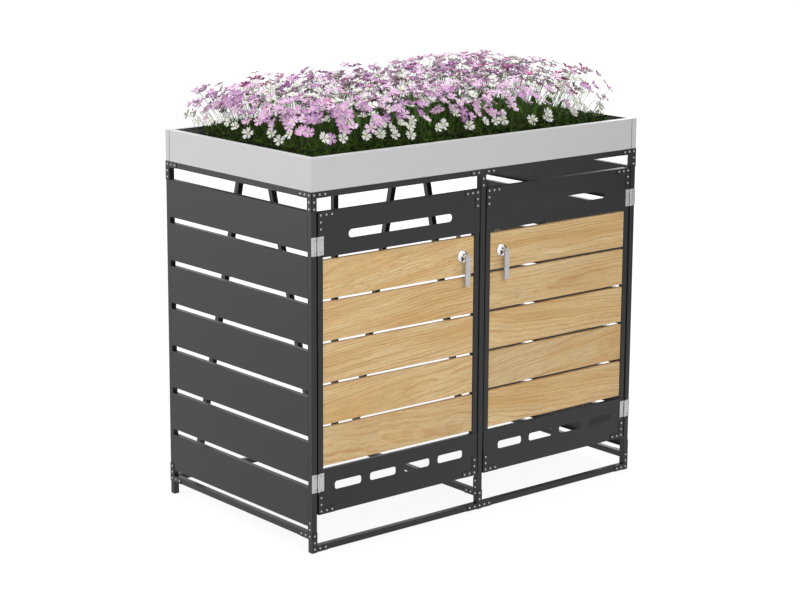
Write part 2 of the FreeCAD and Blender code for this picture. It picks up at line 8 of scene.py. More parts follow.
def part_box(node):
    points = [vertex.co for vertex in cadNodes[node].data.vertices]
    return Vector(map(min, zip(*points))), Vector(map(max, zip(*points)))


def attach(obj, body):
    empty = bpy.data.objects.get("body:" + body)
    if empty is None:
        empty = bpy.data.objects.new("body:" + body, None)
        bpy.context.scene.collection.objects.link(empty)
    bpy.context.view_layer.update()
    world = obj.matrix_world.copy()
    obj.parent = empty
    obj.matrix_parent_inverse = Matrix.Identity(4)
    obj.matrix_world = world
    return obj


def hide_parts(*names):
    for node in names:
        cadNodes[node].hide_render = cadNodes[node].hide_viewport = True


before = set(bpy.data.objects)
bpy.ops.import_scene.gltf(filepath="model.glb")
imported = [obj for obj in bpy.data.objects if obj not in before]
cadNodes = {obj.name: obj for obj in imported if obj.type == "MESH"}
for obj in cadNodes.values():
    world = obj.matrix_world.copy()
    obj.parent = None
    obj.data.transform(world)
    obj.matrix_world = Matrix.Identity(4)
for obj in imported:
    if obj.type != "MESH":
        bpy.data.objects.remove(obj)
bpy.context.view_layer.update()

print("frame loaded,", len(cadNodes), "nodes")


# Small helpers for modelling

def setMode(mode):
    bpy.ops.object.mode_set(mode=mode)


def clearSelection():
    if bpy.context.object and bpy.context.object.mode != "OBJECT":
        setMode("OBJECT")
    bpy.ops.object.select_all(action="DESELECT")


def makeActive(obj):
    clearSelection()
    obj.select_set(True)
    bpy.context.view_layer.objects.active = obj


def moveBy(x, y, z):
    bpy.ops.transform.translate(value=(x, y, z))


def extrudeBy(x, y, z):
    bpy.ops.mesh.extrude_region_move(TRANSFORM_OT_translate={"value": (x, y, z)})


def addGrid(columns, rows, sizeX, sizeY, middle):
    # a flat grid at its size and place, left in edit mode with all of it selected
    clearSelection()
    bpy.ops.mesh.primitive_grid_add(x_subdivisions=columns, y_subdivisions=rows, size=1)
    setMode("EDIT")
    bpy.ops.transform.resize(value=(sizeX, sizeY, 1))
    moveBy(*middle)
    return bpy.context.object


def addDisc(corners, radius):
    # a flat disc round the origin, left in edit mode with all of it selected
    clearSelection()
    bpy.ops.mesh.primitive_circle_add(vertices=corners, radius=radius, fill_type="NGON")
    setMode("EDIT")
    bpy.ops.mesh.select_all(action="SELECT")
    return bpy.context.object


def selectIn(obj, test):
    # opens obj in edit mode with the vertices that pass the test selected
    setMode("EDIT")
    bpy.ops.mesh.select_mode(type="VERT")
    bpy.ops.mesh.select_all(action="DESELECT")
    setMode("OBJECT")
    for vertex in obj.data.vertices:
        vertex.select = test(vertex.co)
    setMode("EDIT")


def applyModifier(obj, kind, **settings):
    makeActive(obj)
    modifier = obj.modifiers.new(kind.lower(), kind)
    for name, value in settings.items():
        setattr(modifier, name, value)
    bpy.ops.object.modifier_apply(modifier=modifier.name)


def roughen(obj, name, size, strength):
    # lumps of one size that push the vertices up and down
    texture = bpy.data.textures.new(name, "CLOUDS")
    texture.noise_scale = size
    applyModifier(obj, "DISPLACE", texture=texture, strength=strength, mid_level=0.5,
                  texture_coords="LOCAL", direction="Z")


def closeUp(obj):
    # merges doubles and turns all faces outwards
    makeActive(obj)
    setMode("EDIT")
    bpy.ops.mesh.select_all(action="SELECT")
    bpy.ops.mesh.remove_doubles(threshold=0.00001)
    bpy.ops.mesh.normals_make_consistent(inside=False)
    setMode("OBJECT")


def addTone(obj, tone):
    attribute = obj.data.attributes.new("tone", "FLOAT", "POINT")
    attribute.data.foreach_set("value", [tone] * len(obj.data.vertices))


def joinCopies(name, places):
    # places holds (prototype, matrix, tone); each copy gets its own mesh and all become one piece
    copies = []
    for prototype, matrix, tone in places:
        copy = prototype.copy()
        copy.data = prototype.data.copy()
        copy.data.transform(matrix)
        if tone is not None:
            addTone(copy, tone)
        bpy.context.scene.collection.objects.link(copy)
        copies.append(copy)
    clearSelection()
    for copy in copies:
        copy.select_set(True)
    bpy.context.view_layer.objects.active = copies[0]
    bpy.ops.object.join()
    joined = bpy.context.object
    joined.name = name
    return joined


def discard(*objects):
    for obj in objects:
        bpy.data.objects.remove(obj)


def around(dice, limit):
    return dice.uniform(-limit, limit)


def anyTurn(dice):
    return Matrix.Rotation(dice.uniform(0, math.tau), 4, "Z")


def givePiece(obj, material, body, slot, *nodes):
    obj.data.materials.clear()
    obj.data.materials.append(material)
    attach(obj, body)
    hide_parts(*nodes)


# Small helpers for materials

def addNode(tree, kind, inputs=None, **settings):
    node = tree.nodes.new(kind)
    for name, value in settings.items():
        setattr(node, name, value)
    fillInputs(tree, node, inputs or {})
    return node


def fillInputs(tree, node, inputs):
    for socket, value in inputs.items():
        if isinstance(value, bpy.types.NodeSocket):
            tree.links.new(value, node.inputs[socket])
        else:
            node.inputs[socket].default_value = value


def addMath(tree, operation, first, second=0.0, third=0.0):
    node = addNode(tree, "ShaderNodeMath", {0: first, 1: second, 2: third}, operation=operation)
    return node.outputs[0]


def addRange(tree, value, low, high, toLow, toHigh):
    node = addNode(tree, "ShaderNodeMapRange", {"Value": value, "From Min": low, "From Max": high,
                                                "To Min": toLow, "To Max": toHigh})
    return node.outputs[0]


def addMix(tree, factor, first, second):
    colors = {socket: value if isinstance(value, bpy.types.NodeSocket) else (*value, 1.0)
              for socket, value in ((6, first), (7, second))}
    return addNode(tree, "ShaderNodeMix", {"Factor": factor, **colors}, data_type="RGBA").outputs[2]


def addNoise(tree, vector, scale, detail=2.0, roughness=0.5):
    return addNode(tree, "ShaderNodeTexNoise", {"Vector": vector, "Scale": scale, "Detail": detail,
                                                "Roughness": roughness}).outputs[0]


def centred(tree, noiseValue):
    return addMath(tree, "SUBTRACT", noiseValue, 0.5)


def spread(tree, noiseValue, toLow, toHigh):
    # nearly all of a noise lies between 0.3 and 0.7
    return addRange(tree, noiseValue, 0.3, 0.7, toLow, toHigh)


def scaled(tree, color, factor):
    return addNode(tree, "ShaderNodeVectorMath", {0: color, "Scale": factor}, operation="SCALE").outputs[0]


def readAttribute(tree, name):
    return addNode(tree, "ShaderNodeAttribute", attribute_name=name).outputs["Fac"]


def objectCoordinates(tree):
    return addNode(tree, "ShaderNodeTexCoord").outputs["Object"]


def placeOnObject(tree):
    return addNode(tree, "ShaderNodeSeparateXYZ", {"Vector": objectCoordinates(tree)}).outputs


def newMaterial(name, **sockets):
    # sockets are the shader's own values, such as metallic=1.0 or coatWeight=0.3
    material = bpy.data.materials.new(name)
    material.use_nodes = True
    tree = material.node_tree
    shader = tree.nodes["Principled BSDF"]
    labels = {"coatWeight": "Coat Weight", "coatRoughness": "Coat Roughness", "metallic": "Metallic",
              "roughness": "Roughness", "specular": "Specular IOR Level",
              "subsurface": "Subsurface Weight", "subsurfaceRadius": "Subsurface Radius",
              "subsurfaceScale": "Subsurface Scale"}
    for key, value in sockets.items():
        shader.inputs[labels[key]].default_value = value
    return material, tree, shader


def feed(tree, shader, color=None, roughness=None, height=None, bumpStrength=0.2, bumpDistance=0.001):
    if color is not None:
        tree.links.new(color, shader.inputs["Base Color"])
    if roughness is not None:
        tree.links.new(roughness, shader.inputs["Roughness"])
    if height is not None:
        bump = addNode(tree, "ShaderNodeBump", {"Height": height, "Strength": bumpStrength,
                                                "Distance": bumpDistance})
        tree.links.new(bump.outputs["Normal"], shader.inputs["Normal"])


def newSkin(name, inputs):
    # a group that makes a colour, a roughness and a height of a vector and its own inputs
    group = bpy.data.node_groups.new(name, "ShaderNodeTree")
    group.interface.new_socket("Vector", in_out="INPUT", socket_type="NodeSocketVector")
    for label, kind, value in inputs:
        socket = group.interface.new_socket(label, in_out="INPUT", socket_type="NodeSocket" + kind)
        socket.default_value = value
    for label, kind in (("Color", "Color"), ("Roughness", "Float"), ("Height", "Float")):
        group.interface.new_socket(label, in_out="OUTPUT", socket_type="NodeSocket" + kind)
    return group, group.nodes.new("NodeGroupInput").outputs, group.nodes.new("NodeGroupOutput")


def useGroup(tree, group, inputs):
    node = tree.nodes.new("ShaderNodeGroup")
    node.node_tree = group
    fillInputs(tree, node, inputs)
    return node.outputs


# Shared effects; here and below bump is strength and depth, and shader holds the shader's own values

coatPattern = {"slowScale": 3.5, "fleckScale": 420.0, "fleckShare": 0.5, "dimpleScale": 900.0,
               "glossChange": 0.08}
brushPattern = {"lineTone": (0.88, 1.08), "cloudScale": 60.0, "cloudTone": (-0.05, 0.05),
                "lineGloss": 0.25, "bump": (0.06, 0.0001)}


def makeCoatSkin():
    # powder coat: a slow drift of tone, a fine dimpled skin and a matching change of gloss
    group, given, made = newSkin("coatSkin", [
        ("Color", "Color", (0.5, 0.5, 0.5, 1)), ("Drift", "Float", 0.06), ("Gloss", "Float", 0.4),
        ("Gloss Change", "Float", coatPattern["glossChange"]),
        ("Dimple Scale", "Float", coatPattern["dimpleScale"])])
    slow = centred(group, addNoise(group, given["Vector"], coatPattern["slowScale"], 3.0))
    fleck = centred(group, addNoise(group, given["Vector"], coatPattern["fleckScale"], 1.0))
    both = addMath(group, "MULTIPLY_ADD", fleck, coatPattern["fleckShare"], slow)
    lift = addMath(group, "MULTIPLY_ADD", both, given["Drift"], 1.0)
    gloss = addMath(group, "MULTIPLY_ADD", slow, given["Gloss Change"], given["Gloss"])
    dimple = addNoise(group, given["Vector"], given["Dimple Scale"], 1.0)
    fillInputs(group, made, {"Color": scaled(group, given["Color"], lift), "Roughness": gloss,
                             "Height": dimple})
    return group


def makeBrushedSkin():
    # fine parallel scratches; Stretch is small along the direction of the brushing
    group, given, made = newSkin("brushedSkin", [
        ("Stretch", "Vector", (1, 1, 1)), ("Color", "Color", (0.6, 0.6, 0.6, 1)), ("Gloss", "Float", 0.3)])
    drawnOut = addNode(group, "ShaderNodeMapping", {"Vector": given["Vector"], "Scale": given["Stretch"]})
    lines = addNoise(group, drawnOut.outputs[0], 1.0, 3.0, 0.6)
    cloud = addNoise(group, given["Vector"], brushPattern["cloudScale"], 2.0)
    lift = addMath(group, "ADD", spread(group, lines, *brushPattern["lineTone"]),
                   spread(group, cloud, *brushPattern["cloudTone"]))
    gloss = addMath(group, "MULTIPLY_ADD", centred(group, lines), brushPattern["lineGloss"], given["Gloss"])
    fillInputs(group, made, {"Color": scaled(group, given["Color"], lift), "Roughness": gloss,
                             "Height": lines})
    return group


coatSkin = makeCoatSkin()
brushedSkin = makeBrushedSkin()


# Steel, in a dark powder coat

steelPaint = {"color": (0.0085, 0.0085, 0.009, 1), "gloss": 0.40, "drift": 0.12, "bump": (0.12, 0.0002),
              "shader": {"specular": 0.37, "coatWeight": 0.12, "coatRoughness": 0.25}}


def makeSteelPaint():
    material, tree, shader = newMaterial("anthraciteCoat", **steelPaint["shader"])
    skin = useGroup(tree, coatSkin, {"Vector": objectCoordinates(tree), "Color": steelPaint["color"],
                                     "Gloss": steelPaint["gloss"], "Drift": steelPaint["drift"]})
    feed(tree, shader, *skin, *steelPaint["bump"])
    return material


# Trough sheets: pale outside, greyer on the inner faces, with painted shade along the two seams

troughPaint = {"outside": (0.60, 0.60, 0.60, 1), "inside": (0.33, 0.35, 0.33, 1), "gloss": 0.42,
               "outsideDrift": 0.05, "insideDrift": 0.2, "bump": (0.08, 0.0002), "sheet": 0.0015,
               "seam": (0.045, 0.048, 0.045), "seamShadeWidth": 0.0026, "seamShare": 0.8,
               "shader": {"coatWeight": 0.1, "coatRoughness": 0.3}}


def makeTroughPaint():
    low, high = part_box("planter_rear_right")
    sheet = troughPaint["sheet"]
    material, tree, shader = newMaterial("paleTroughCoat", **troughPaint["shader"])
    x, y, z = placeOnObject(tree)

    def paint(side):
        return useGroup(tree, coatSkin, {"Vector": objectCoordinates(tree), "Color": troughPaint[side],
                                         "Gloss": troughPaint["gloss"],
                                         "Drift": troughPaint[side + "Drift"]})

    def away(value, middle):
        return addMath(tree, "ABSOLUTE", addMath(tree, "SUBTRACT", value, middle))

    withinX = addMath(tree, "LESS_THAN", away(x, 0.0), (high.x - low.x) / 2 - sheet / 2)
    withinY = addMath(tree, "LESS_THAN", away(y, (high.y + low.y) / 2), (high.y - low.y) / 2 - sheet / 2)
    underRim = addMath(tree, "LESS_THAN", z, high.z - sheet / 2)
    mask = addMath(tree, "MULTIPLY", addMath(tree, "MULTIPLY", withinX, withinY), underRim)
    outside = paint("outside")
    color = addMix(tree, mask, outside["Color"], paint("inside")["Color"])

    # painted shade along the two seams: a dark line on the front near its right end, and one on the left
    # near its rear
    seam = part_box("planter_front_left")[1]
    onFront = addMath(tree, "LESS_THAN", y, low.y + sheet)
    onLeft = addMath(tree, "LESS_THAN", x, low.x + sheet)
    lineX = addRange(tree, away(x, seam.x), 0.0, troughPaint["seamShadeWidth"], 1.0, 0.0)
    lineY = addRange(tree, away(y, seam.y), 0.0, troughPaint["seamShadeWidth"], 1.0, 0.0)
    lines = addMath(tree, "MAXIMUM", addMath(tree, "MULTIPLY", onFront, lineX),
                    addMath(tree, "MULTIPLY", onLeft, lineY))
    paintedShade = addMath(tree, "MULTIPLY", lines, troughPaint["seamShare"])
    color = addMix(tree, paintedShade, color, troughPaint["seam"])
    feed(tree, shader, color, outside["Roughness"], outside["Height"], *troughPaint["bump"])
    return material


# Oak boards: each board is cut from its own place in the tree

oak = {"boards": 5, "gap": 0.010, "doorLots": 17.0, "alongShift": 7.0, "doorMiddle": 0.35,
       "ringSpacing": 0.0085, "ringDark": (0.42, 0.88), "ringFade": (0.38, 0.62), "ringFaint": 0.08,
       "ringLeast": 0.45, "ringMore": 0.5, "pithNear": 0.045, "pithSpread": 0.08, "pithAside": 0.40,
       "tilt": 0.34, "tiltBalance": 0.35, "wander": 0.034, "ripple": 0.007, "strandShare": 0.6,
       "fibreTone": (0.87, 1.10), "fibreRelief": 0.5, "bandTone": (0.07, -0.08), "boardTone": 0.12,
       "warmFrom": (0.34, 0.66), "streakFrom": (0.48, 0.72), "streakShare": 0.55,
       "poreFrom": (0.56, 0.68), "poreShare": 0.45, "poreInward": 700.0, "gloss": (0.5, 0.62),
       "pale": (0.810, 0.625, 0.345), "warm": (0.700, 0.455, 0.195), "latewood": (0.570, 0.275, 0.080),
       "streak": (0.710, 0.405, 0.175), "pore": (0.42, 0.20, 0.060), "bump": (0.25, 0.0004),
       "shader": {"specular": 0.35, "coatWeight": 0.05, "coatRoughness": 0.4}}

# how fast each grain changes along and across the board, and its noise's detail and roughness
oakGrains = {"wander": (2.4, 5.0, 2.0, 0.5), "ripple": (17.0, 28.0, 1.0, 0.5),
             "drift": (1.6, 26.0, 2.0, 0.5), "band": (3.5, 95.0, 2.0, 0.5),
             "fibre": (11.0, 330.0, 3.0, 0.65), "streak": (4.5, 110.0, 2.0, 0.5),
             "strength": (2.5, 50.0, 1.0, 0.5), "pore": (42.0, 900.0, 1.0, 0.5)}


def makeOak():
    low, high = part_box("left_door_boards")
    pitch = (high.z - low.z + oak["gap"]) / oak["boards"]
    material, tree, shader = newMaterial("oiledOak", **oak["shader"])

    def calc(operation, *values):
        return addMath(tree, operation, *values)

    x, y, z = placeOnObject(tree)
    start = low.z - oak["gap"] / 2
    row = calc("FLOOR", calc("DIVIDE", calc("SUBTRACT", z, start), pitch))
    number = calc("MULTIPLY_ADD", calc("GREATER_THAN", x, 0.0), oak["doorLots"], row)
    lot = addNode(tree, "ShaderNodeTexWhiteNoise", {"W": number}, noise_dimensions="1D")
    lots = addNode(tree, "ShaderNodeSeparateColor", {"Color": lot.outputs["Color"]})
    chanceA, chanceB, chanceC = lots.outputs
    across = calc("SUBTRACT", z, calc("MULTIPLY_ADD", row, pitch, start + pitch / 2))
    along = calc("MULTIPLY_ADD", chanceA, oak["alongShift"], x)

    def grain(kind, line, inward=number):
        alongScale, lineScale, detail, roughness = oakGrains[kind]
        place = {"X": calc("MULTIPLY", along, alongScale), "Y": inward,
                 "Z": calc("MULTIPLY", line, lineScale)}
        vector = addNode(tree, "ShaderNodeCombineXYZ", place).outputs[0]
        return addNoise(tree, vector, 1.0, detail, roughness)

    # rings: the distance from a pith that runs at a tilt behind the board, with a slow wander
    tilt = calc("MULTIPLY", calc("SUBTRACT", chanceB, oak["tiltBalance"]), oak["tilt"])
    fromMiddle = calc("SUBTRACT", calc("ABSOLUTE", x), oak["doorMiddle"])
    depth = calc("MULTIPLY_ADD", chanceA, oak["pithSpread"], oak["pithNear"])
    aside = calc("ADD", across, calc("MULTIPLY_ADD", chanceC, oak["pithAside"], -oak["pithAside"] / 2))
    aside = calc("MULTIPLY_ADD", fromMiddle, tilt, aside)
    squares = calc("MULTIPLY_ADD", depth, depth, calc("MULTIPLY", aside, aside))
    wander = centred(tree, grain("wander", across))
    radius = calc("MULTIPLY_ADD", wander, oak["wander"], calc("SQRT", squares))
    ripple = centred(tree, grain("ripple", across))
    radius = calc("MULTIPLY_ADD", ripple, oak["ripple"], radius)

    # fine strands keep running straight where the rings turn back
    strand = calc("MULTIPLY_ADD", radius, oak["strandShare"], aside)

    ring = calc("FRACT", calc("DIVIDE", radius, oak["ringSpacing"]))
    edge = addNode(tree, "ShaderNodeValToRGB", {"Fac": ring})
    steps = edge.color_ramp.elements
    steps[0].color = (0, 0, 0, 1)
    steps[0].position, steps[1].position = oak["ringDark"]
    steps[1].color = (1, 1, 1, 1)
    steps.new(1.0).color = (0, 0, 0, 1)
    strength = addRange(tree, grain("strength", strand), *oak["ringFade"], oak["ringFaint"], 1.0)
    latewood = calc("MULTIPLY", edge.outputs[0], strength)

    fibre = grain("fibre", strand)
    warmth = addRange(tree, grain("drift", radius), *oak["warmFrom"], 0.0, 1.0)
    color = addMix(tree, warmth, oak["pale"], oak["warm"])
    streak = addRange(tree, grain("streak", strand), *oak["streakFrom"], 0.0, oak["streakShare"])
    color = addMix(tree, streak, color, oak["streak"])
    ringShare = calc("MULTIPLY_ADD", chanceC, oak["ringMore"], oak["ringLeast"])
    color = addMix(tree, calc("MULTIPLY", latewood, ringShare), color, oak["latewood"])
    tone = calc("ADD", spread(tree, fibre, *oak["fibreTone"]),
                spread(tree, grain("band", radius), *oak["bandTone"]))
    tone = calc("ADD", tone, calc("MULTIPLY_ADD", chanceB, oak["boardTone"], -oak["boardTone"] / 2))
    pore = grain("pore", strand, calc("MULTIPLY", y, oak["poreInward"]))
    pore = addRange(tree, pore, *oak["poreFrom"], 0.0, 1.0)
    color = addMix(tree, calc("MULTIPLY", pore, oak["poreShare"]), scaled(tree, color, tone), oak["pore"])
    height = calc("SUBTRACT", calc("MULTIPLY", fibre, oak["fibreRelief"]), pore)
    feed(tree, shader, color, spread(tree, fibre, *oak["gloss"]), height, *oak["bump"])
    return material


# Bare metals

# crevice is how far the painted shade reaches out of a corner
metals = {
    "chrome": {"color": (0.80, 0.80, 0.81, 1), "gloss": 0.08, "stretch": (30, 30, 30), "crevice": 0.005},
    "bar": {"color": (0.50, 0.50, 0.515, 1), "gloss": 0.34, "stretch": (1600, 1600, 25)},
    "hinge": {"color": (0.53, 0.53, 0.53, 1), "gloss": 0.42, "stretch": (900, 900, 30), "crevice": 0.003},
    "zinc": {"color": (0.44, 0.44, 0.44, 1), "gloss": 0.38, "stretch": (500, 500, 500), "crevice": 0.002},
}
# the colour of the painted shade in corners, and the occlusion range over which it fades in
metalCornerShade = {"color": (0.03, 0.03, 0.03), "corners": (0.35, 0.85)}

# painted shade round the axis of a lock: a dark disc for the socket in the nose of the spindle, a dark ring
# at the foot of its neck
paintedShadeSpots = {"socket": {"radius": 0.0026, "soft": 0.0002, "depth": 0.006, "color": (0.02, 0.02, 0.022)},
             "neck": {"radius": 0.0080, "soft": 0.0035, "depth": 0.1, "color": (0.06, 0.045, 0.035)}}


def addPaintedShadeSpot(tree, color, spot):
    # both locks lie as far from the middle
    low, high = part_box("left_lock_spindle")
    x, y, z = placeOnObject(tree)
    aside = addMath(tree, "ADD", addMath(tree, "ABSOLUTE", x), (low.x + high.x) / 2)
    above = addMath(tree, "SUBTRACT", z, (low.z + high.z) / 2)
    squares = addMath(tree, "MULTIPLY_ADD", aside, aside, addMath(tree, "MULTIPLY", above, above))
    within = addRange(tree, addMath(tree, "SQRT", squares), spot["radius"], spot["radius"] + spot["soft"],
                      1.0, 0.0)
    front = addMath(tree, "LESS_THAN", y, low.y + spot["depth"])
    return addMix(tree, addMath(tree, "MULTIPLY", within, front), color, spot["color"])


def makeMetal(name, kind, spotName=None, crevices=0.0):
    settings = metals[kind]
    material, tree, shader = newMaterial(name, metallic=1.0)
    skin = useGroup(tree, brushedSkin, {"Vector": objectCoordinates(tree), "Color": settings["color"],
                                        "Stretch": settings["stretch"], "Gloss": settings["gloss"]})
    color = skin["Color"]
    if crevices:
        # painted shade: corners and recesses are darkened where the ambient occlusion is low
        corner = addNode(tree, "ShaderNodeAmbientOcclusion", {"Distance": settings["crevice"]}, samples=6)
        paintedShade = addRange(tree, corner.outputs["AO"], *metalCornerShade["corners"], 1.0, 0.0)
        color = addMix(tree, addMath(tree, "MULTIPLY", paintedShade, crevices), color, metalCornerShade["color"])
    # painted shade round the lock's axis
    if spotName:
        color = addPaintedShadeSpot(tree, color, paintedShadeSpots[spotName])
    feed(tree, shader, color, skin["Roughness"], skin["Height"], *brushPattern["bump"])
    return material


footPlastic = {"color": (0.018, 0.018, 0.019, 1), "gloss": 0.5, "drift": 0.2, "dimpleScale": 1400.0,
               "bump": (0.2, 0.0003)}


def makeFootPlastic():
    material, tree, shader = newMaterial("blackPlastic")
    skin = useGroup(tree, coatSkin, {"Vector": objectCoordinates(tree), "Color": footPlastic["color"],
                                     "Gloss": footPlastic["gloss"], "Drift": footPlastic["drift"],
                                     "Dimple Scale": footPlastic["dimpleScale"]})
    feed(tree, shader, *skin, *footPlastic["bump"])
    return material


# Finishes of the CAD nodes: the first word found in a node's name counts, the rest is dark steel

def finishNodes():
    steel = makeSteelPaint()
    finishes = [
        ("planter_bearers", steel),
        ("planter_", makeTroughPaint()),
        ("door_boards", makeOak()),
        ("screws", makeMetal("zincScrews", "zinc", crevices=0.8)),
        ("lock_cam", makeMetal("zincCam", "zinc")),
        ("lock_back_nut", makeMetal("zincNut", "zinc")),
        ("hinge_", makeMetal("hingeSteel", "hinge", crevices=0.75)),
        ("lock_rosette", makeMetal("chromePlate", "chrome", "neck", crevices=0.9)),
        ("lock_spindle", makeMetal("chromeSpindle", "chrome", "socket", crevices=0.9)),
        ("lock_bar", makeMetal("brushedBar", "bar")),
        ("foot_caps", makeFootPlastic()),
    ]
    for name, obj in cadNodes.items():
        obj.data.materials.clear()
        obj.data.materials.append(next((material for word, material in finishes if word in name), steel))
    print("finishes given to the frame's nodes")


finishNodes()


# Potting soil

soil = {"columns": 150, "rows": 75, "lump": 0.008, "lumpSize": 0.05, "crumb": 0.005, "crumbSize": 0.012,
        "depth": 0.03, "dark": (0.010, 0.007, 0.005), "light": (0.055, 0.036, 0.022),
        "lightFrom": (0.35, 0.7), "crumbScale": 160.0, "damp": (0.012, 0.009, 0.007),
        "dampFrom": (0.4, 0.65), "dampShare": 0.6, "dampScale": 9.0, "bump": (0.8, 0.004),
        "shader": {"roughness": 0.95}}


def makeSoilMaterial():
    material, tree, shader = newMaterial("pottingSoil", **soil["shader"])
    coords = objectCoordinates(tree)
    crumbs = addNoise(tree, coords, soil["crumbScale"], 4.0, 0.7)
    pale = addRange(tree, crumbs, *soil["lightFrom"], 0.0, 1.0)
    damp = addNoise(tree, coords, soil["dampScale"], 3.0)
    damp = addRange(tree, damp, *soil["dampFrom"], 0.0, soil["dampShare"])
    color = addMix(tree, damp, addMix(tree, pale, soil["dark"], soil["light"]), soil["damp"])
    feed(tree, shader, color, None, crumbs, *soil["bump"])
    return material


def makeSoil():
    low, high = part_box("soil")
    top = high.z - soil["lump"]
    earth = addGrid(soil["columns"], soil["rows"], high.x - low.x, high.y - low.y,
                    ((low.x + high.x) / 2, (low.y + high.y) / 2, top))
    earth.name = "soil_bed"
    setMode("OBJECT")
    roughen(earth, "soilLumps", soil["lumpSize"], soil["lump"])
    roughen(earth, "soilCrumbs", soil["crumbSize"], soil["crumb"])
    setMode("EDIT")
    bpy.ops.mesh.select_all(action="SELECT")
    extrudeBy(0, 0, -soil["depth"])
    bpy.ops.transform.resize(value=(1, 1, 0), center_override=(0, 0, top - soil["depth"]))
    closeUp(earth)
    givePiece(earth, makeSoilMaterial(), "frame", "soil", "soil")
    print("soil made")


makeSoil()


# Plants: leaf and flower shapes are modelled once, near the origin, and then copied

needleShape = {"length": 0.025, "radius": 0.0011, "bend": 0.45, "steps": ((0.2, 0.55), (0.8, 0.38))}
tuftShape = {"needles": 6, "lean": 1.45, "spread": 0.010, "sizes": (0.65, 1.2)}
bladeShape = {"length": 0.058, "width": 0.015, "thickness": 0.0012, "stand": 62, "keel": 0.002,
              "columns": 4, "outline": ((0, 0.15, 0.0), (1, 0.8, 0.003), (2, 1.0, 0.004),
                                        (3, 0.7, 0.002), (4, 0.02, -0.003))}  # column, width, rise


def makeNeedle():
    # a three-sided tapering needle that bends over to +X
    length = needleShape["length"]
    needle = addDisc(3, needleShape["radius"])
    for bendShare, rise in needleShape["steps"]:
        extrudeBy(bendShare * (needleShape["bend"] * length), 0, rise * length)
    bpy.ops.mesh.merge(type="CENTER")
    closeUp(needle)
    return needle


def makeTuft(needle, dice):
    places = []
    for index in range(tuftShape["needles"]):
        turn = Matrix.Rotation(math.tau * (index + dice.random()) / tuftShape["needles"], 4, "Z")
        lean = Matrix.Rotation(tuftShape["lean"] * dice.random(), 4, "Y")
        spot = (around(dice, tuftShape["spread"]), around(dice, tuftShape["spread"]), 0)
        size = Matrix.Scale(dice.uniform(*tuftShape["sizes"]), 4)
        places.append((needle, Matrix.Translation(spot) @ turn @ lean @ size, None))
    return joinCopies("tuft", places)


def makeBlade():
    # a broad pointed leaf with a keel, closed and thin
    length = bladeShape["length"]
    width = bladeShape["width"]
    blade = addGrid(bladeShape["columns"], 2, length, width, (length / 2, 0, 0))
    for column, share, rise in bladeShape["outline"]:
        at = column * length / bladeShape["columns"]
        selectIn(blade, lambda co: abs(co.x - at) < length / 10)
        bpy.ops.transform.resize(value=(1, share, 1), center_override=(at, 0, 0))
        moveBy(0, 0, rise)
    selectIn(blade, lambda co: abs(co.y) < width / 50)
    moveBy(0, 0, -bladeShape["keel"])
    setMode("OBJECT")
    applyModifier(blade, "SOLIDIFY", thickness=bladeShape["thickness"], offset=0.0)
    closeUp(blade)
    blade.data.transform(Matrix.Rotation(-math.radians(bladeShape["stand"]), 4, "Y"))
    return blade


petalShape = {"length": 0.0188, "width": 0.0142, "waist": 0.64, "waistRise": 0.2, "tipShare": 0.66,
              "notch": 0.0042, "notchDip": 0.3, "thickness": 0.0010, "heartGap": 0.0010, "curl": 0.0032}
headShape = {"petals": 5, "kinds": 7, "cups": (-0.15, 0.35), "turn": 0.07, "droop": 0.22, "twist": 0.28,
             "petalSizes": (0.9, 1.06), "sizes": (0.82, 1.08)}
eyeShape = {"radius": 0.0020, "sunk": 0.0005, "wall": 0.7, "dome": 0.4, "top": 0.6, "dimple": (0.3, -0.25)}
stemShape = {"radius": 0.0007, "length": 0.1, "bow": 0.05}


def makePetal():
    # one notched petal along +X, a thin closed lens whose tip curls up
    length = petalShape["length"]
    width = petalShape["width"]
    curl = petalShape["curl"]
    waist = petalShape["waist"] * length
    petal = addGrid(2, 2, length, width, (length / 2, 0, 0))
    selectIn(petal, lambda co: co.x < length / 10)
    bpy.ops.mesh.merge(type="CENTER")
    selectIn(petal, lambda co: abs(co.x - length / 2) < length / 10)
    moveBy(waist - length / 2, 0, petalShape["waistRise"] * curl)
    selectIn(petal, lambda co: co.x > 0.9 * length)
    bpy.ops.transform.resize(value=(1, petalShape["tipShare"], 1), center_override=(length, 0, 0))
    moveBy(0, 0, curl)
    selectIn(petal, lambda co: co.x > 0.9 * length and abs(co.y) < width / 10)
    moveBy(-petalShape["notch"], 0, -petalShape["notchDip"] * curl)

    # the under side is a flipped copy with its middle lower; the outlines are sewn together
    selectIn(petal, lambda co: True)
    bpy.ops.mesh.duplicate()
    bpy.ops.mesh.flip_normals()
    setMode("OBJECT")
    for vertex in petal.data.vertices:
        central = abs(vertex.co.y) < width / 10 and abs(vertex.co.x - waist) < width / 10
        vertex.select = vertex.select and central
    setMode("EDIT")
    moveBy(0, 0, -petalShape["thickness"])
    bpy.ops.mesh.select_all(action="SELECT")
    moveBy(petalShape["heartGap"], 0, 0)
    closeUp(petal)
    return petal


def makeHead(petal, cup, dice):
    places = []
    for index in range(headShape["petals"]):
        angle = math.tau * (index + around(dice, headShape["turn"])) / headShape["petals"]
        turn = Matrix.Rotation(angle, 4, "Z")
        droop = Matrix.Rotation(-cup + around(dice, headShape["droop"]), 4, "Y")
        twist = Matrix.Rotation(around(dice, headShape["twist"]), 4, "X")
        size = Matrix.Scale(dice.uniform(*headShape["petalSizes"]), 4)
        places.append((petal, turn @ droop @ twist @ size, None))
    head = joinCopies("head", places)
    markReach(head)
    return head


def markReach(head):
    # the reach attribute runs from 0 at the heart to 1 at the tips
    attribute = head.data.attributes.new("reach", "FLOAT", "POINT")
    full = max(v.co.xy.length for v in head.data.vertices)
    attribute.data.foreach_set("value", [v.co.xy.length / full for v in head.data.vertices])


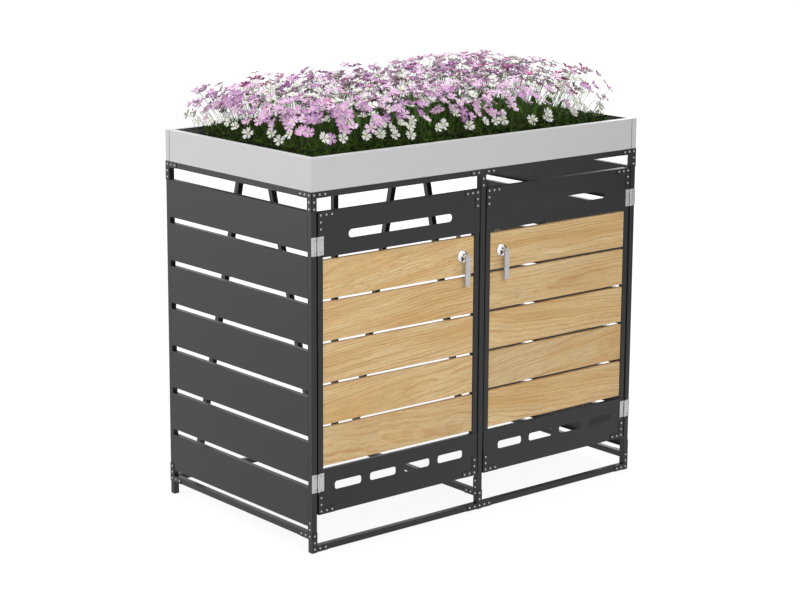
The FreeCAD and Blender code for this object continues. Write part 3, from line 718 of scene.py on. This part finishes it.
def makeEye():
    # the button in the middle of a flower, a small dome with a dimple
    radius = eyeShape["radius"]
    eye = addDisc(6, radius)
    moveBy(0, 0, -eyeShape["sunk"])
    extrudeBy(0, 0, eyeShape["wall"] * radius)
    extrudeBy(0, 0, eyeShape["dome"] * radius)
    bpy.ops.transform.resize(value=(eyeShape["top"], eyeShape["top"], 1))
    width, depth = eyeShape["dimple"]
    bpy.ops.mesh.inset(thickness=width * radius, depth=depth * radius)
    closeUp(eye)
    return eye


def makeStem():
    # a three-sided stem up +Z with a slight bow
    length = stemShape["length"]
    stem = addDisc(3, stemShape["radius"])
    for side in (1, 0, -1):
        extrudeBy(side * stemShape["bow"] * length, 0, length / 3)
    closeUp(stem)
    return stem


# Petal colours: two tones to vary between, and the heart of the flower

petals = {
    "white": {"share": 0.37, "first": (0.70, 0.69, 0.65), "second": (0.80, 0.79, 0.76),
              "heart": (0.72, 0.70, 0.50)},
    "pink": {"share": 0.36, "first": (0.68, 0.38, 0.63), "second": (0.86, 0.62, 0.81),
             "heart": (0.84, 0.68, 0.77)},
    "lilac": {"share": 0.23, "first": (0.40, 0.17, 0.41), "second": (0.68, 0.40, 0.65),
              "heart": (0.72, 0.56, 0.68)},
    "magenta": {"share": 0.04, "first": (0.58, 0.12, 0.33), "second": (0.74, 0.29, 0.52),
                "heart": (0.78, 0.56, 0.64)},
}
petalSkin = {"veins": 900.0, "veinTone": (0.93, 1.05), "heartReach": (0.08, 0.45), "bump": (0.15, 0.0005),
             "shader": {"roughness": 0.55, "subsurface": 0.4, "subsurfaceRadius": (1.0, 0.6, 0.9),
                        "subsurfaceScale": 0.003}}


def makePetalMaterial(kind):
    settings = petals[kind]
    material, tree, shader = newMaterial("petals_" + kind, **petalSkin["shader"])
    vein = addNoise(tree, objectCoordinates(tree), petalSkin["veins"], 2.0)
    color = addMix(tree, readAttribute(tree, "tone"), settings["first"], settings["second"])
    heart = addRange(tree, readAttribute(tree, "reach"), *petalSkin["heartReach"], 1.0, 0.0)
    color = addMix(tree, heart, color, settings["heart"])
    color = scaled(tree, color, spread(tree, vein, *petalSkin["veinTone"]))
    feed(tree, shader, color, None, vein, *petalSkin["bump"])
    return material


greens = {
    "needleGreen": {"dark": (0.003, 0.009, 0.001), "light": (0.078, 0.140, 0.016), "patches": 55.0,
                    "specular": 0.05},
    # painted shade: near-black green for the cushion deep inside the plants
    "paintedShadeGreen": {"dark": (0.002, 0.005, 0.002), "light": (0.008, 0.014, 0.004), "patches": 60.0,
                  "specular": 0.05},
    "bladeGreen": {"dark": (0.035, 0.10, 0.012), "light": (0.11, 0.22, 0.035), "patches": 30.0,
                   "specular": 0.2},
    "stemGreen": {"dark": (0.05, 0.12, 0.025), "light": (0.14, 0.26, 0.07), "patches": 40.0,
                  "specular": 0.2},
    "heartYellow": {"dark": (0.45, 0.40, 0.08), "light": (0.70, 0.62, 0.20), "patches": 300.0,
                    "specular": 0.2},
}


greenSkin = {"patchShare": 0.6, "toneShare": 0.5, "lightFrom": (0.2, 0.8), "gloss": (0.45, 0.65),
             "bump": (0.2, 0.0005)}


def makePlantMaterial(name):
    settings = greens[name]
    material, tree, shader = newMaterial(name, specular=settings["specular"])
    patch = addNoise(tree, objectCoordinates(tree), settings["patches"], 2.0)
    tone = addMath(tree, "MULTIPLY", readAttribute(tree, "tone"), greenSkin["toneShare"])
    share = addMath(tree, "MULTIPLY_ADD", patch, greenSkin["patchShare"], tone)
    share = addRange(tree, share, *greenSkin["lightFrom"], 0.0, 1.0)
    color = addMix(tree, share, settings["dark"], settings["light"])
    feed(tree, shader, color, spread(tree, patch, *greenSkin["gloss"]), patch, *greenSkin["bump"])
    return material


def joinPlants(name, places, material, slot, node):
    # all plants stand on the frame, which doesn't move
    givePiece(joinCopies(name, places), material, "frame", slot, node)


def towards(direction):
    return direction.to_track_quat("Z", "X").to_matrix().to_4x4()


def keepInside(value, low, high, reach):
    return min(max(value, low + reach), high - reach)


# The bed: heads fill a bouquet that leans outwards at its edges, over a low carpet of needles

bed = {"columns": 52, "rows": 25, "lowest": 0.056, "top": 0.172, "unevenness": 0.015, "depthInside": 0.06,
       "lean": 0.62, "looseLean": 0.20, "headTilt": 0.40, "headRise": 0.0145, "bunches": 95,
       "strayShare": 0.35, "clumpSize": 0.11, "clumpDrop": 0.034, "gapSize": 0.06, "gapLevel": -0.22,
       "gapsBefore": 0.2, "bareCorner": 0.085, "cornerDrop": 0.12, "leftRearDrop": 0.85,
       "rightRearDrop": 0.3, "farDepth": 0.8, "tallShare": 0.14, "tallRise": 0.020, "backRise": 0.018,
       "rightRise": 0.026, "crowding": 1.6, "edgeCrowding": 0.8, "faceOut": 0.7, "lowFaceOut": 3.2,
       "lilacEdge": 0.5, "lilacLowness": 0.45, "whiteLowness": 0.6, "lowWhites": 0.4, "whitesEnd": 0.8}
rim = {"frontFlowers": 20, "sideFlowers": 7, "out": 0.012, "in": 0.03, "heights": (0.036, 0.064)}


def bouquetTop(acrossX, acrossY, x, y):
    clump = noise.noise(Vector((x, y, 0)) / bed["clumpSize"])
    behind = bed["leftRearDrop"] if acrossX < 0 else bed["rightRearDrop"]
    corner = (abs(acrossX) * max(-acrossY, behind * acrossY)) ** 4
    return bed["top"] - bed["cornerDrop"] * corner - bed["clumpDrop"] * max(0.0, 0.5 - clump)


def looseVector(dice, size):
    return Vector((around(dice, 1), around(dice, 1), 0)) * size


def bouquetFlower(dice, x, y, acrossX, acrossY, low, high, kindShares, nearKind):
    # where one flower is rooted, where its head is, which way that looks, and its kind
    edge = max(-acrossX, -acrossY, bed["farDepth"] * max(acrossX, acrossY)) ** 4
    top = bouquetTop(acrossX, acrossY, x, y) + around(dice, 1) * bed["unevenness"]
    if dice.random() < bed["tallShare"]:
        top += bed["tallRise"]
    top += bed["backRise"] * max(0.0, acrossY) + bed["rightRise"] * max(0.0, acrossX)
    depth = bed["depthInside"] + (top - bed["lowest"] - bed["depthInside"]) * edge
    rise = top - max(depth, 0.0) * dice.random() ** (bed["crowding"] - bed["edgeCrowding"] * edge)
    outward = Vector((acrossX ** 3, acrossY ** 3, 0)) * bed["lean"]
    loose = looseVector(dice, bed["looseLean"])
    crown = Vector((x, y, low.z + rise))
    root = crown - (outward + loose) * rise
    root.x = min(max(root.x, low.x), high.x)
    root.y = min(max(root.y, low.y), high.y)
    root.z = low.z
    lowness = 1 - rise / bed["top"]
    tilt = looseVector(dice, bed["headTilt"])
    facing = Vector((0, 0, 1)) + outward * (bed["faceOut"] + bed["lowFaceOut"] * lowness) + tilt
    kind = dice.choices(*kindShares)[0] if dice.random() < bed["strayShare"] else nearKind
    if kind == "white" and edge > bed["lilacEdge"] and lowness < bed["lilacLowness"]:
        kind = "lilac"
    mayBeWhite = lowness > bed["whiteLowness"] and acrossX < bed["whitesEnd"]
    if mayBeWhite and dice.random() < bed["lowWhites"]:
        kind = "white"
    return root, crown, facing, kind


def bouquetFlowers(dice, low, high):
    middle = (low + high) / 2
    kindShares = (list(petals), [settings["share"] for settings in petals.values()])
    bunches = [(dice.uniform(low.x, high.x), dice.uniform(low.y, high.y), dice.choices(*kindShares)[0])
               for _ in range(bed["bunches"])]
    for column in range(bed["columns"]):
        for row in range(bed["rows"]):
            x = low.x + (high.x - low.x) * (column + dice.random()) / bed["columns"]
            y = low.y + (high.y - low.y) * (row + dice.random()) / bed["rows"]
            acrossX = (x - middle.x) / (high.x - middle.x)
            acrossY = (y - middle.y) / (high.y - middle.y)
            gap = noise.noise(Vector((x, y, 1)) / bed["gapSize"])
            if acrossY < bed["gapsBefore"] and gap < bed["gapLevel"]:
                continue
            if math.hypot(x - low.x, y - low.y) < bed["bareCorner"]:
                continue
            near = min(bunches, key=lambda bunch: (bunch[0] - x) ** 2 + (bunch[1] - y) ** 2)
            yield bouquetFlower(dice, x, y, acrossX, acrossY, low, high, kindShares, near[2])


def rimFlowers(dice, low, high):
    # a few low white ones that look out over the front and left rims
    for index in range(1, rim["frontFlowers"] - 1):
        x = low.x + (high.x - low.x) * (index + dice.random()) / rim["frontFlowers"]
        y = low.y + dice.uniform(-rim["out"], rim["in"])
        crown = Vector((x, y, low.z + dice.uniform(*rim["heights"])))
        facing = Vector((dice.uniform(-0.5, 0.2), -1.2, 0.5))
        yield Vector((x, y + rim["in"], low.z)), crown, facing, "white"
    for index in range(1, rim["sideFlowers"]):
        y = low.y + (high.y - low.y) * (index + dice.random()) / rim["sideFlowers"]
        crown = Vector((low.x + dice.uniform(0.0, rim["in"]), y, low.z + dice.uniform(*rim["heights"])))
        facing = Vector((-1.0, dice.uniform(-0.8, 0.0), 0.6))
        yield Vector((low.x + rim["in"], y, low.z)), crown, facing, "white"


def setHead(dice, crown, facing, limitLow, limitHigh):
    # turns a head to its side and moves its crown inside the space of the flowers
    facing.normalize()
    size = dice.uniform(*headShape["sizes"])
    flat = math.sqrt(max(0.0, 1 - facing.z ** 2))
    reach = (petalShape["length"] + petalShape["heartGap"]) * size
    crown.x = keepInside(crown.x, limitLow.x, limitHigh.x, reach)
    crown.y = keepInside(crown.y, limitLow.y, limitHigh.y, reach)
    crown.z = min(crown.z, limitHigh.z - reach * flat - bed["headRise"] * (1 - flat))
    return Matrix.Translation(crown) @ towards(facing) @ anyTurn(dice) @ Matrix.Scale(size, 4)


def plantFlowers():
    dice = random.Random(11)
    low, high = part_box("foliage")
    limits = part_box("flowers")
    petal = makePetal()
    heads = [makeHead(petal, dice.uniform(*headShape["cups"]), dice) for _ in range(headShape["kinds"])]
    eye = makeEye()
    stem = makeStem()
    placed = {kind: [] for kind in petals}
    eyes = []
    stems = []
    for flowers in (bouquetFlowers(dice, low, high), rimFlowers(dice, low, high)):
        for root, crown, facing, kind in flowers:
            matrix = setHead(dice, crown, facing, *limits)
            placed[kind].append((dice.choice(heads), matrix, dice.random()))
            eyes.append((eye, matrix, dice.random()))
            line = crown - root
            grow = Matrix.Diagonal((1, 1, line.length / stemShape["length"], 1))
            stand = Matrix.Translation(root) @ towards(line.normalized()) @ grow
            stems.append((stem, stand, dice.random()))
    for kind, places in placed.items():
        joinPlants("flowers_" + kind, places, makePetalMaterial(kind), "petals", "flowers")
    joinPlants("flower_hearts", eyes, makePlantMaterial("heartYellow"), "petals", "flowers")
    joinPlants("flower_stems", stems, makePlantMaterial("stemGreen"), "leaves", "flowers")
    discard(eye, stem, petal, *heads)
    print("flowers made,", len(eyes), "heads")


carpet = {"columns": 76, "rows": 40, "tufts": 5, "tuftSizes": (0.75, 1.15), "lifts": (0.4, 1.0),
          "wallGap": 0.004, "height": 0.060, "edgeHeight": 0.026, "edgeReach": 0.022, "bareEdge": 0.014,
          "bareRight": 0.05, "bareRear": 0.13, "ragged": 0.03}
blades = {"count": 150, "foot": 0.055, "feet": (0.6, 1.4), "sizes": (0.7, 1.15), "insetX": 0.19,
          "insetY": 0.05}
cushion = {"columns": 96, "rows": 52, "margin": 0.02, "slope": 0.025, "height": 0.024, "lump": 0.026,
           "lumpSize": 0.03, "thickness": 0.012, "tone": 0.2}


def carpetTop(x, y, low, high):
    inset = max(0.0, min(x - low.x, high.x - x, y - low.y, high.y - y))
    drop = carpet["height"] - carpet["edgeHeight"]
    return carpet["height"] - drop * math.exp(-inset / carpet["edgeReach"])


def isBare(x, y, low, high):
    # the leaves leave the right end and the rear left corner of the trough free
    return x > high.x - carpet["bareRight"] or math.hypot(x - low.x, y - high.y) < carpet["bareRear"]


def makeMound():
    # the dark heart of the plants, a low lumpy cushion under the needles, coloured near-black green as
    # painted shade deep among the leaves
    low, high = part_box("foliage")
    middle = (low + high) / 2
    margin = cushion["margin"]
    mound = addGrid(cushion["columns"], cushion["rows"], high.x - low.x - margin, high.y - low.y - margin,
                    ((low.x + high.x) / 2, (low.y + high.y) / 2, low.z))
    insetX = (high.x - low.x) / 2 - cushion["slope"]
    insetY = (high.y - low.y) / 2 - cushion["slope"]
    selectIn(mound, lambda co: abs(co.x - middle.x) < insetX and abs(co.y - middle.y) < insetY
             and not isBare(co.x, co.y, low, high))
    moveBy(0, 0, cushion["height"])
    setMode("OBJECT")
    roughen(mound, "moundLumps", cushion["lumpSize"], cushion["lump"])
    applyModifier(mound, "SOLIDIFY", thickness=cushion["thickness"], offset=-1.0)
    mound.name = "foliage_mound"
    addTone(mound, cushion["tone"])
    givePiece(mound, makePlantMaterial("paintedShadeGreen"), "frame", "leaves", "foliage")


def placeTufts(dice, tufts, low, high):
    reaches = [max(vertex.co.xy.length for vertex in tuft.data.vertices) for tuft in tufts]
    ragged = carpet["ragged"]
    places = []
    for column in range(carpet["columns"]):
        for row in range(carpet["rows"]):
            which = dice.randrange(len(tufts))
            size = dice.uniform(*carpet["tuftSizes"])
            reach = reaches[which] * size - carpet["wallGap"]
            x = low.x + (high.x - low.x) * (column + dice.random()) / carpet["columns"]
            y = low.y + (high.y - low.y) * (row + dice.random()) / carpet["rows"]
            if isBare(x + dice.uniform(0, ragged), y + around(dice, ragged), low, high):
                continue
            room = max(0.0, carpetTop(x, y, low, high) - needleShape["length"])
            lift = room * dice.uniform(*carpet["lifts"])
            x = keepInside(x, low.x + carpet["bareEdge"], high.x, reach)
            y = keepInside(y, low.y, high.y, reach)
            place = Matrix.Translation((x, y, low.z + lift)) @ anyTurn(dice) @ Matrix.Scale(size, 4)
            places.append((tufts[which], place, dice.random()))
    return places


def placeBlades(dice, blade, low, high):
    places = []
    for _ in range(blades["count"]):
        x = dice.uniform(low.x + blades["insetX"], high.x - blades["insetX"])
        y = dice.uniform(low.y + blades["insetY"], high.y - blades["insetY"])
        turn = anyTurn(dice)
        foot = Matrix.Translation((x, y, low.z + blades["foot"] * dice.uniform(*blades["feet"])))
        size = Matrix.Scale(dice.uniform(*blades["sizes"]), 4)
        places.append((blade, foot @ turn @ size, dice.random()))
    return places


def plantFoliage():
    dice = random.Random(23)
    low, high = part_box("foliage")
    needle = makeNeedle()
    tufts = [makeTuft(needle, dice) for _ in range(carpet["tufts"])]
    blade = makeBlade()
    makeMound()
    needles = placeTufts(dice, tufts, low, high)
    joinPlants("foliage_needles", needles, makePlantMaterial("needleGreen"), "leaves", "foliage")
    leaves = placeBlades(dice, blade, low, high)
    joinPlants("foliage_blades", leaves, makePlantMaterial("bladeGreen"), "leaves", "foliage")
    discard(needle, blade, *tufts)
    print("foliage made")


plantFoliage()
plantFlowers()


# Studio: pale floor, soft lamps, white surroundings

studio = {"floorSize": 60.0, "floorColor": (0.62, 0.62, 0.62, 1), "floorGlow": 0.80, "floorStrength": 1.14,
          "nearFloor": 1.5, "farFloor": 6.0, "worldLight": 0.40}
darkCard = {"size": (2.4, 2.2, 1), "place": (3.0, -1.4, 1.1), "dark": (0.015, 0.015, 0.015),
            "light": (0.03, 0.03, 0.03), "patches": 8.0, "roughness": 0.9}


def seenDirectly(tree):
    # 1 for the camera, and for what metal and glass show of the surroundings
    paths = addNode(tree, "ShaderNodeLightPath").outputs
    seen = addMath(tree, "MAXIMUM", paths["Is Camera Ray"], paths["Is Glossy Ray"])
    return addMath(tree, "MAXIMUM", seen, paths["Is Transmission Ray"])


def makeFloor():
    clearSelection()
    bpy.ops.mesh.primitive_plane_add(size=studio["floorSize"])
    floor = bpy.context.object
    floor.name = "studio_floor"
    material = bpy.data.materials.new("studioFloor")
    material.use_nodes = True
    tree = material.node_tree
    tree.nodes.clear()
    pale = addNode(tree, "ShaderNodeBsdfDiffuse", {"Color": studio["floorColor"]})
    glow = addNode(tree, "ShaderNodeEmission", {"Color": (1, 1, 1, 1), "Strength": studio["floorStrength"]})
    far = addNode(tree, "ShaderNodeVectorMath", {0: objectCoordinates(tree)}, operation="LENGTH")
    glowShare = addRange(tree, far.outputs["Value"], studio["nearFloor"], studio["farFloor"],
                         studio["floorGlow"], 1.0)
    share = addMath(tree, "MULTIPLY", seenDirectly(tree), glowShare)
    mixed = addNode(tree, "ShaderNodeMixShader", {0: share, 1: pale.outputs[0], 2: glow.outputs[0]})
    addNode(tree, "ShaderNodeOutputMaterial", {"Surface": mixed.outputs[0]})
    floor.data.materials.append(material)


def makeDarkCard():
    # a dark card to the right of the front, which only gives the metals something dark to mirror
    clearSelection()
    bpy.ops.mesh.primitive_plane_add(size=1.0)
    card = bpy.context.object
    card.name = "dark_card"
    setMode("EDIT")
    bpy.ops.mesh.select_all(action="SELECT")
    bpy.ops.transform.resize(value=darkCard["size"])
    setMode("OBJECT")
    card.data.transform(Matrix.Translation(darkCard["place"]) @ Matrix.Rotation(math.radians(90), 4, "Y"))
    material, tree, shader = newMaterial("darkCard", roughness=darkCard["roughness"])
    cloth = addNoise(tree, objectCoordinates(tree), darkCard["patches"], 2.0)
    feed(tree, shader, addMix(tree, cloth, darkCard["dark"], darkCard["light"]))
    card.data.materials.append(material)
    card.visible_camera = False
    card.visible_diffuse = False
    card.visible_shadow = False
    card.visible_transmission = False


def makeWorld():
    world = bpy.data.worlds.new("studioWorld")
    bpy.context.scene.world = world
    world.use_nodes = True
    tree = world.node_tree
    tree.nodes.clear()
    light = addNode(tree, "ShaderNodeBackground", {"Color": (1, 1, 1, 1), "Strength": studio["worldLight"]})
    white = addNode(tree, "ShaderNodeBackground", {"Color": (1, 1, 1, 1), "Strength": 1.0})
    mixed = addNode(tree, "ShaderNodeMixShader", {0: seenDirectly(tree), 1: light.outputs[0],
                                                  2: white.outputs[0]})
    addNode(tree, "ShaderNodeOutputWorld", {"Surface": mixed.outputs[0]})


lamps = {
    "keyLeft": {"place": (-4.6, 2.4, 2.0), "size": 3.0, "power": 88.0},
    "front": {"place": (-2.4, -5.4, 3.2), "size": 3.2, "power": 155.0},
    "above": {"place": (0.0, 0.3, 4.6), "size": 3.4, "power": 110.0},
    "fill": {"place": (4.6, 2.4, 2.8), "size": 3.0, "power": 45.0},
}
aim = Vector((0, 0, 0.7))


def makeLamps():
    for name, settings in lamps.items():
        light = bpy.data.lights.new(name, "AREA")
        light.shape = "SQUARE"
        light.size = settings["size"]
        light.energy = settings["power"]
        lamp = bpy.data.objects.new(name, light)
        lamp.location = settings["place"]
        lamp.rotation_euler = (aim - lamp.location).to_track_quat("-Z", "Y").to_euler()
        bpy.context.scene.collection.objects.link(lamp)


# Camera: solved from the photograph, whose vertical shift it keeps in part
# its focal length and shifts are in pixels of a picture frameWidth wide

view = {"place": (-4.4948, -5.2790, 2.2384), "azimuth": -38.57, "elevation": 11.35, "focal": 2097.4,
        "frameWidth": 800, "shiftRight": 59.5, "shiftDown": 59.5, "sensor": 36.0, "farthest": 100.0}


def makeCamera():
    camera = bpy.data.cameras.new("photoCamera")
    camera.sensor_width = view["sensor"]
    camera.lens = view["focal"] / view["frameWidth"] * view["sensor"]
    camera.shift_x = view["shiftRight"] / view["frameWidth"]
    camera.shift_y = -view["shiftDown"] / view["frameWidth"]
    camera.clip_end = view["farthest"]
    eye = bpy.data.objects.new("photoCamera", camera)
    eye.location = view["place"]
    eye.rotation_euler = Euler((math.radians(90 - view["elevation"]), 0, math.radians(view["azimuth"])))
    bpy.context.scene.collection.objects.link(eye)
    bpy.context.scene.camera = eye


makeFloor()
makeDarkCard()
makeWorld()
makeLamps()
makeCamera()
bpy.context.scene.view_settings.view_transform = "Standard"
print("studio made")
